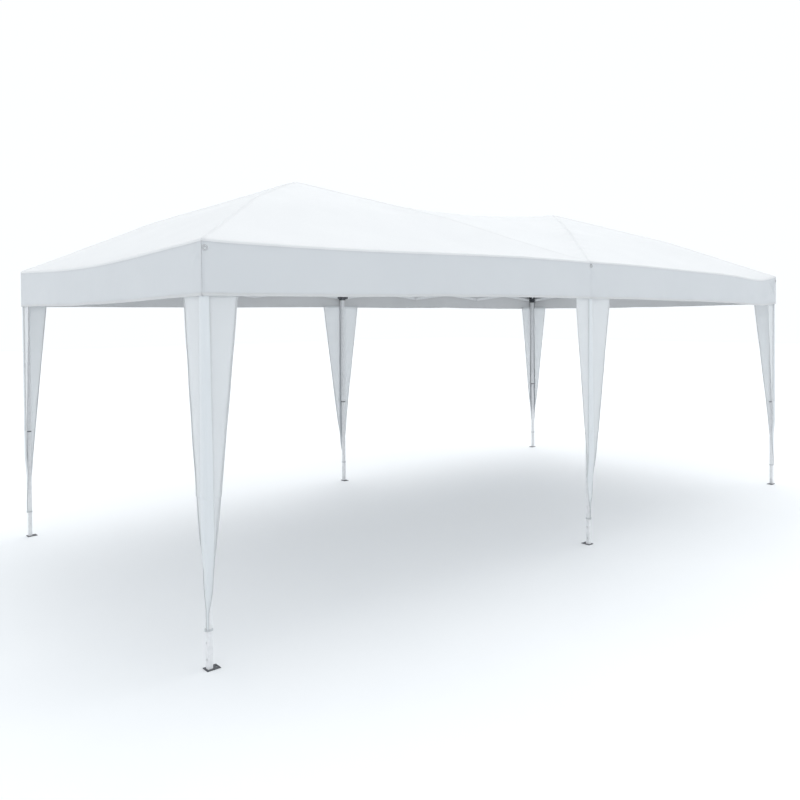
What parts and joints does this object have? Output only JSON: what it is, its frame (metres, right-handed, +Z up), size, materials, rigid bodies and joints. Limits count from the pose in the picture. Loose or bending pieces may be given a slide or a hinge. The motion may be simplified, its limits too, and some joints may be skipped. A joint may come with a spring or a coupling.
{
  "type": "pop up canopy",
  "caption": "Rectangular folding shelter with two peaked roofs, a valance, scissor trusses, sliding collars and telescopic legs on foot plates.",
  "frame": {"origin": "on the ground at the centre of the six feet", "axes": "+X along the long side, +Y along the short side, +Z up"},
  "size_m": [5.96, 3.015, 2.632],
  "materials": {
    "white_steel": "satin white powder coat on steel tube",
    "dark_plastic": "matt dark grey moulded nylon",
    "canopy_cloth": "plain weave polyester with a thin coating",
    "eyelet_metal": "satin nickel"
  },
  "bodies": {
    "leg_front_left": {"leg_front_left_upper": "white_steel"},
    "foot_front_left": {"leg_front_left_lower": "white_steel"},
    "slider_front_left": {"slider_front_left": "dark_plastic"},
    "leg_front_middle": {"leg_front_middle_upper": "white_steel"},
    "foot_front_middle": {"leg_front_middle_lower": "white_steel"},
    "slider_front_middle": {"slider_front_middle": "dark_plastic"},
    "leg_front_right": {"leg_front_right_upper": "white_steel"},
    "foot_front_right": {"leg_front_right_lower": "white_steel"},
    "slider_front_right": {"slider_front_right": "dark_plastic"},
    "leg_back_left": {"leg_back_left_upper": "white_steel"},
    "foot_back_left": {"leg_back_left_lower": "white_steel"},
    "slider_back_left": {"slider_back_left": "dark_plastic"},
    "leg_back_middle": {"leg_back_middle_upper": "white_steel", "roof_cover": "canopy_cloth", "valance": "canopy_cloth", "leg_skirts": "canopy_cloth", "grommets": "eyelet_metal", "peak_frame_left": "white_steel", "peak_frame_right": "white_steel"},
    "foot_back_middle": {"leg_back_middle_lower": "white_steel"},
    "slider_back_middle": {"slider_back_middle": "dark_plastic"},
    "leg_back_right": {"leg_back_right_upper": "white_steel"},
    "foot_back_right": {"leg_back_right_lower": "white_steel"},
    "slider_back_right": {"slider_back_right": "dark_plastic"},
    "front_left_falling_1": {"truss_front_left_falling_1": "white_steel"},
    "front_left_rising_1": {"truss_front_left_rising_1": "white_steel"},
    "front_left_falling_2": {"truss_front_left_falling_2": "white_steel"},
    "front_left_rising_2": {"truss_front_left_rising_2": "white_steel"},
    "front_left_falling_3": {"truss_front_left_falling_3": "white_steel"},
    "front_left_rising_3": {"truss_front_left_rising_3": "white_steel"},
    "front_right_falling_1": {"truss_front_right_falling_1": "white_steel"},
    "front_right_rising_1": {"truss_front_right_rising_1": "white_steel"},
    "front_right_falling_2": {"truss_front_right_falling_2": "white_steel"},
    "front_right_rising_2": {"truss_front_right_rising_2": "white_steel"},
    "front_right_falling_3": {"truss_front_right_falling_3": "white_steel"},
    "front_right_rising_3": {"truss_front_right_rising_3": "white_steel"},
    "back_left_falling_1": {"truss_back_left_falling_1": "white_steel"},
    "back_left_rising_1": {"truss_back_left_rising_1": "white_steel"},
    "back_left_falling_2": {"truss_back_left_falling_2": "white_steel"},
    "back_left_rising_2": {"truss_back_left_rising_2": "white_steel"},
    "back_left_falling_3": {"truss_back_left_falling_3": "white_steel"},
    "back_left_rising_3": {"truss_back_left_rising_3": "white_steel"},
    "back_right_falling_1": {"truss_back_right_falling_1": "white_steel"},
    "back_right_rising_1": {"truss_back_right_rising_1": "white_steel"},
    "back_right_falling_2": {"truss_back_right_falling_2": "white_steel"},
    "back_right_rising_2": {"truss_back_right_rising_2": "white_steel"},
    "back_right_falling_3": {"truss_back_right_falling_3": "white_steel"},
    "back_right_rising_3": {"truss_back_right_rising_3": "white_steel"},
    "left_side_falling_1": {"truss_left_side_falling_1": "white_steel"},
    "left_side_rising_1": {"truss_left_side_rising_1": "white_steel"},
    "left_side_falling_2": {"truss_left_side_falling_2": "white_steel"},
    "left_side_rising_2": {"truss_left_side_rising_2": "white_steel"},
    "left_side_falling_3": {"truss_left_side_falling_3": "white_steel"},
    "left_side_rising_3": {"truss_left_side_rising_3": "white_steel"},
    "right_side_falling_1": {"truss_right_side_falling_1": "white_steel"},
    "right_side_rising_1": {"truss_right_side_rising_1": "white_steel"},
    "right_side_falling_2": {"truss_right_side_falling_2": "white_steel"},
    "right_side_rising_2": {"truss_right_side_rising_2": "white_steel"},
    "right_side_falling_3": {"truss_right_side_falling_3": "white_steel"},
    "right_side_rising_3": {"truss_right_side_rising_3": "white_steel"}
  },
  "joints": [
    {"name": "frame_fold", "type": "hinge", "parent": "leg_back_middle", "child": "back_left_rising_3", "pos_m": [-0.045, 1.475, 1.95], "axis": [0, -1, 0], "range_deg": [0, 77.5], "deforming": ["peak_frame_left", "peak_frame_right", "roof_cover", "valance", "leg_skirts", "grommets"]},
    {"name": "back_left_falling_3_turn", "type": "hinge", "parent": "back_left_rising_3", "child": "back_left_falling_3", "pos_m": [-0.52167, 1.475, 1.895], "axis": [0, 1, 0], "range_deg": [0, 155]},
    {"name": "back_left_rising_2_turn", "type": "hinge", "parent": "back_left_falling_3", "child": "back_left_rising_2", "pos_m": [-0.99833, 1.475, 1.95], "axis": [0, -1, 0], "range_deg": [0, 155]},
    {"name": "back_left_falling_2_turn", "type": "hinge", "parent": "back_left_rising_2", "child": "back_left_falling_2", "pos_m": [-1.475, 1.475, 1.895], "axis": [0, 1, 0], "range_deg": [0, 155]},
    {"name": "back_left_rising_1_turn", "type": "hinge", "parent": "back_left_falling_2", "child": "back_left_rising_1", "pos_m": [-1.95167, 1.475, 1.95], "axis": [0, -1, 0], "range_deg": [0, 155]},
    {"name": "back_left_falling_1_turn", "type": "hinge", "parent": "back_left_rising_1", "child": "back_left_falling_1", "pos_m": [-2.42833, 1.475, 1.895], "axis": [0, 1, 0], "range_deg": [0, 155]},
    {"name": "leg_back_left_turn", "type": "hinge", "parent": "back_left_falling_1", "child": "leg_back_left", "pos_m": [-2.905, 1.475, 1.95], "axis": [0, -1, 0], "range_deg": [0, 77.5]},
    {"name": "back_right_falling_1_turn", "type": "hinge", "parent": "leg_back_middle", "child": "back_right_falling_1", "pos_m": [0.045, 1.475, 1.95], "axis": [0, 1, 0], "range_deg": [0, 77.5]},
    {"name": "back_right_rising_1_turn", "type": "hinge", "parent": "back_right_falling_1", "child": "back_right_rising_1", "pos_m": [0.52167, 1.475, 1.895], "axis": [0, -1, 0], "range_deg": [0, 155]},
    {"name": "back_right_falling_2_turn", "type": "hinge", "parent": "back_right_rising_1", "child": "back_right_falling_2", "pos_m": [0.99833, 1.475, 1.95], "axis": [0, 1, 0], "range_deg": [0, 155]},
    {"name": "back_right_rising_2_turn", "type": "hinge", "parent": "back_right_falling_2", "child": "back_right_rising_2", "pos_m": [1.475, 1.475, 1.895], "axis": [0, -1, 0], "range_deg": [0, 155]},
    {"name": "back_right_falling_3_turn", "type": "hinge", "parent": "back_right_rising_2", "child": "back_right_falling_3", "pos_m": [1.95167, 1.475, 1.95], "axis": [0, 1, 0], "range_deg": [0, 155]},
    {"name": "back_right_rising_3_turn", "type": "hinge", "parent": "back_right_falling_3", "child": "back_right_rising_3", "pos_m": [2.42833, 1.475, 1.895], "axis": [0, -1, 0], "range_deg": [0, 155]},
    {"name": "leg_back_right_turn", "type": "hinge", "parent": "back_right_rising_3", "child": "leg_back_right", "pos_m": [2.905, 1.475, 1.95], "axis": [0, 1, 0], "range_deg": [0, 77.5]},
    {"name": "left_side_rising_3_turn", "type": "hinge", "parent": "leg_back_left", "child": "left_side_rising_3", "pos_m": [-2.95, 1.43, 1.95], "axis": [1, 0, 0], "range_deg": [0, 77.5]},
    {"name": "left_side_falling_3_turn", "type": "hinge", "parent": "left_side_rising_3", "child": "left_side_falling_3", "pos_m": [-2.95, 0.95333, 1.895], "axis": [-1, 0, 0], "range_deg": [0, 155]},
    {"name": "left_side_rising_2_turn", "type": "hinge", "parent": "left_side_falling_3", "child": "left_side_rising_2", "pos_m": [-2.95, 0.47667, 1.95], "axis": [1, 0, 0], "range_deg": [0, 155]},
    {"name": "left_side_falling_2_turn", "type": "hinge", "parent": "left_side_rising_2", "child": "left_side_falling_2", "pos_m": [-2.95, 0, 1.895], "axis": [-1, 0, 0], "range_deg": [0, 155]},
    {"name": "left_side_rising_1_turn", "type": "hinge", "parent": "left_side_falling_2", "child": "left_side_rising_1", "pos_m": [-2.95, -0.47667, 1.95], "axis": [1, 0, 0], "range_deg": [0, 155]},
    {"name": "left_side_falling_1_turn", "type": "hinge", "parent": "left_side_rising_1", "child": "left_side_falling_1", "pos_m": [-2.95, -0.95333, 1.895], "axis": [-1, 0, 0], "range_deg": [0, 155]},
    {"name": "leg_front_left_turn", "type": "hinge", "parent": "left_side_falling_1", "child": "leg_front_left", "pos_m": [-2.95, -1.43, 1.95], "axis": [1, 0, 0], "range_deg": [0, 77.5]},
    {"name": "right_side_rising_3_turn", "type": "hinge", "parent": "leg_back_right", "child": "right_side_rising_3", "pos_m": [2.95, 1.43, 1.95], "axis": [1, 0, 0], "range_deg": [0, 77.5]},
    {"name": "right_side_falling_3_turn", "type": "hinge", "parent": "right_side_rising_3", "child": "right_side_falling_3", "pos_m": [2.95, 0.95333, 1.895], "axis": [-1, 0, 0], "range_deg": [0, 155]},
    {"name": "right_side_rising_2_turn", "type": "hinge", "parent": "right_side_falling_3", "child": "right_side_rising_2", "pos_m": [2.95, 0.47667, 1.95], "axis": [1, 0, 0], "range_deg": [0, 155]},
    {"name": "right_side_falling_2_turn", "type": "hinge", "parent": "right_side_rising_2", "child": "right_side_falling_2", "pos_m": [2.95, 0, 1.895], "axis": [-1, 0, 0], "range_deg": [0, 155]},
    {"name": "right_side_rising_1_turn", "type": "hinge", "parent": "right_side_falling_2", "child": "right_side_rising_1", "pos_m": [2.95, -0.47667, 1.95], "axis": [1, 0, 0], "range_deg": [0, 155]},
    {"name": "right_side_falling_1_turn", "type": "hinge", "parent": "right_side_rising_1", "child": "right_side_falling_1", "pos_m": [2.95, -0.95333, 1.895], "axis": [-1, 0, 0], "range_deg": [0, 155]},
    {"name": "leg_front_right_turn", "type": "hinge", "parent": "right_side_falling_1", "child": "leg_front_right", "pos_m": [2.95, -1.43, 1.95], "axis": [1, 0, 0], "range_deg": [0, 77.5]},
    {"name": "front_left_falling_1_turn", "type": "hinge", "parent": "leg_front_left", "child": "front_left_falling_1", "pos_m": [-2.905, -1.475, 1.95], "axis": [0, 1, 0], "range_deg": [0, 77.5]},
    {"name": "front_left_rising_1_turn", "type": "hinge", "parent": "front_left_falling_1", "child": "front_left_rising_1", "pos_m": [-2.42833, -1.475, 1.895], "axis": [0, -1, 0], "range_deg": [0, 155]},
    {"name": "front_left_falling_2_turn", "type": "hinge", "parent": "front_left_rising_1", "child": "front_left_falling_2", "pos_m": [-1.95167, -1.475, 1.95], "axis": [0, 1, 0], "range_deg": [0, 155]},
    {"name": "front_left_rising_2_turn", "type": "hinge", "parent": "front_left_falling_2", "child": "front_left_rising_2", "pos_m": [-1.475, -1.475, 1.895], "axis": [0, -1, 0], "range_deg": [0, 155]},
    {"name": "front_left_falling_3_turn", "type": "hinge", "parent": "front_left_rising_2", "child": "front_left_falling_3", "pos_m": [-0.99833, -1.475, 1.95], "axis": [0, 1, 0], "range_deg": [0, 155]},
    {"name": "front_left_rising_3_turn", "type": "hinge", "parent": "front_left_falling_3", "child": "front_left_rising_3", "pos_m": [-0.52167, -1.475, 1.895], "axis": [0, -1, 0], "range_deg": [0, 155]},
    {"name": "leg_front_middle_turn", "type": "hinge", "parent": "front_left_rising_3", "child": "leg_front_middle", "pos_m": [-0.045, -1.475, 1.95], "axis": [0, 1, 0], "range_deg": [0, 77.5]},
    {"name": "front_right_rising_3_turn", "type": "hinge", "parent": "leg_front_right", "child": "front_right_rising_3", "pos_m": [2.905, -1.475, 1.95], "axis": [0, -1, 0], "range_deg": [0, 77.5]},
    {"name": "front_right_falling_3_turn", "type": "hinge", "parent": "front_right_rising_3", "child": "front_right_falling_3", "pos_m": [2.42833, -1.475, 1.895], "axis": [0, 1, 0], "range_deg": [0, 155]},
    {"name": "front_right_rising_2_turn", "type": "hinge", "parent": "front_right_falling_3", "child": "front_right_rising_2", "pos_m": [1.95167, -1.475, 1.95], "axis": [0, -1, 0], "range_deg": [0, 155]},
    {"name": "front_right_falling_2_turn", "type": "hinge", "parent": "front_right_rising_2", "child": "front_right_falling_2", "pos_m": [1.475, -1.475, 1.895], "axis": [0, 1, 0], "range_deg": [0, 155]},
    {"name": "front_right_rising_1_turn", "type": "hinge", "parent": "front_right_falling_2", "child": "front_right_rising_1", "pos_m": [0.99833, -1.475, 1.95], "axis": [0, -1, 0], "range_deg": [0, 155]},
    {"name": "front_right_falling_1_turn", "type": "hinge", "parent": "front_right_rising_1", "child": "front_right_falling_1", "pos_m": [0.52167, -1.475, 1.895], "axis": [0, 1, 0], "range_deg": [0, 155]},
    {"name": "slider_back_middle_turn", "type": "hinge", "parent": "back_left_falling_3", "child": "slider_back_middle", "pos_m": [-0.045, 1.475, 1.84], "axis": [0, -1, 0], "range_deg": [0, 77.5]},
    {"name": "slider_back_left_turn", "type": "hinge", "parent": "back_left_rising_1", "child": "slider_back_left", "pos_m": [-2.905, 1.475, 1.84], "axis": [0, 1, 0], "range_deg": [0, 77.5]},
    {"name": "slider_back_right_turn", "type": "hinge", "parent": "back_right_falling_3", "child": "slider_back_right", "pos_m": [2.905, 1.475, 1.84], "axis": [0, -1, 0], "range_deg": [0, 77.5]},
    {"name": "slider_front_left_turn", "type": "hinge", "parent": "left_side_rising_1", "child": "slider_front_left", "pos_m": [-2.95, -1.43, 1.84], "axis": [-1, 0, 0], "range_deg": [0, 77.5]},
    {"name": "slider_front_right_turn", "type": "hinge", "parent": "right_side_rising_1", "child": "slider_front_right", "pos_m": [2.95, -1.43, 1.84], "axis": [-1, 0, 0], "range_deg": [0, 77.5]},
    {"name": "slider_front_middle_turn", "type": "hinge", "parent": "front_left_falling_3", "child": "slider_front_middle", "pos_m": [-0.045, -1.475, 1.84], "axis": [0, -1, 0], "range_deg": [0, 77.5]},
    {"name": "front_left_leg_height", "type": "slide", "parent": "leg_front_left", "child": "foot_front_left", "axis": [0, 0, 1], "range_m": [0, 0.7]},
    {"name": "front_middle_leg_height", "type": "slide", "parent": "leg_front_middle", "child": "foot_front_middle", "axis": [0, 0, 1], "range_m": [0, 0.7]},
    {"name": "front_right_leg_height", "type": "slide", "parent": "leg_front_right", "child": "foot_front_right", "axis": [0, 0, 1], "range_m": [0, 0.7]},
    {"name": "back_left_leg_height", "type": "slide", "parent": "leg_back_left", "child": "foot_back_left", "axis": [0, 0, 1], "range_m": [0, 0.7]},
    {"name": "back_middle_leg_height", "type": "slide", "parent": "leg_back_middle", "child": "foot_back_middle", "axis": [0, 0, 1], "range_m": [0, 0.7]},
    {"name": "back_right_leg_height", "type": "slide", "parent": "leg_back_right", "child": "foot_back_right", "axis": [0, 0, 1], "range_m": [0, 0.7]}
  ],
  "couplings": [
    {"joint": "back_left_falling_3_turn", "follows": "frame_fold", "ratio": 2},
    {"joint": "back_left_rising_2_turn", "follows": "frame_fold", "ratio": 2},
    {"joint": "back_left_falling_2_turn", "follows": "frame_fold", "ratio": 2},
    {"joint": "back_left_rising_1_turn", "follows": "frame_fold", "ratio": 2},
    {"joint": "back_left_falling_1_turn", "follows": "frame_fold", "ratio": 2},
    {"joint": "leg_back_left_turn", "follows": "frame_fold", "ratio": 1},
    {"joint": "back_right_falling_1_turn", "follows": "frame_fold", "ratio": 1},
    {"joint": "back_right_rising_1_turn", "follows": "frame_fold", "ratio": 2},
    {"joint": "back_right_falling_2_turn", "follows": "frame_fold", "ratio": 2},
    {"joint": "back_right_rising_2_turn", "follows": "frame_fold", "ratio": 2},
    {"joint": "back_right_falling_3_turn", "follows": "frame_fold", "ratio": 2},
    {"joint": "back_right_rising_3_turn", "follows": "frame_fold", "ratio": 2},
    {"joint": "leg_back_right_turn", "follows": "frame_fold", "ratio": 1},
    {"joint": "left_side_rising_3_turn", "follows": "frame_fold", "ratio": 1},
    {"joint": "left_side_falling_3_turn", "follows": "frame_fold", "ratio": 2},
    {"joint": "left_side_rising_2_turn", "follows": "frame_fold", "ratio": 2},
    {"joint": "left_side_falling_2_turn", "follows": "frame_fold", "ratio": 2},
    {"joint": "left_side_rising_1_turn", "follows": "frame_fold", "ratio": 2},
    {"joint": "left_side_falling_1_turn", "follows": "frame_fold", "ratio": 2},
    {"joint": "leg_front_left_turn", "follows": "frame_fold", "ratio": 1},
    {"joint": "right_side_rising_3_turn", "follows": "frame_fold", "ratio": 1},
    {"joint": "right_side_falling_3_turn", "follows": "frame_fold", "ratio": 2},
    {"joint": "right_side_rising_2_turn", "follows": "frame_fold", "ratio": 2},
    {"joint": "right_side_falling_2_turn", "follows": "frame_fold", "ratio": 2},
    {"joint": "right_side_rising_1_turn", "follows": "frame_fold", "ratio": 2},
    {"joint": "right_side_falling_1_turn", "follows": "frame_fold", "ratio": 2},
    {"joint": "leg_front_right_turn", "follows": "frame_fold", "ratio": 1},
    {"joint": "front_left_falling_1_turn", "follows": "frame_fold", "ratio": 1},
    {"joint": "front_left_rising_1_turn", "follows": "frame_fold", "ratio": 2},
    {"joint": "front_left_falling_2_turn", "follows": "frame_fold", "ratio": 2},
    {"joint": "front_left_rising_2_turn", "follows": "frame_fold", "ratio": 2},
    {"joint": "front_left_falling_3_turn", "follows": "frame_fold", "ratio": 2},
    {"joint": "front_left_rising_3_turn", "follows": "frame_fold", "ratio": 2},
    {"joint": "leg_front_middle_turn", "follows": "frame_fold", "ratio": 1},
    {"joint": "front_right_rising_3_turn", "follows": "frame_fold", "ratio": 1},
    {"joint": "front_right_falling_3_turn", "follows": "frame_fold", "ratio": 2},
    {"joint": "front_right_rising_2_turn", "follows": "frame_fold", "ratio": 2},
    {"joint": "front_right_falling_2_turn", "follows": "frame_fold", "ratio": 2},
    {"joint": "front_right_rising_1_turn", "follows": "frame_fold", "ratio": 2},
    {"joint": "front_right_falling_1_turn", "follows": "frame_fold", "ratio": 2},
    {"joint": "slider_back_middle_turn", "follows": "frame_fold", "ratio": 1},
    {"joint": "slider_back_left_turn", "follows": "frame_fold", "ratio": 1},
    {"joint": "slider_back_right_turn", "follows": "frame_fold", "ratio": 1},
    {"joint": "slider_front_left_turn", "follows": "frame_fold", "ratio": 1},
    {"joint": "slider_front_right_turn", "follows": "frame_fold", "ratio": 1},
    {"joint": "slider_front_middle_turn", "follows": "frame_fold", "ratio": 1}
  ]
}
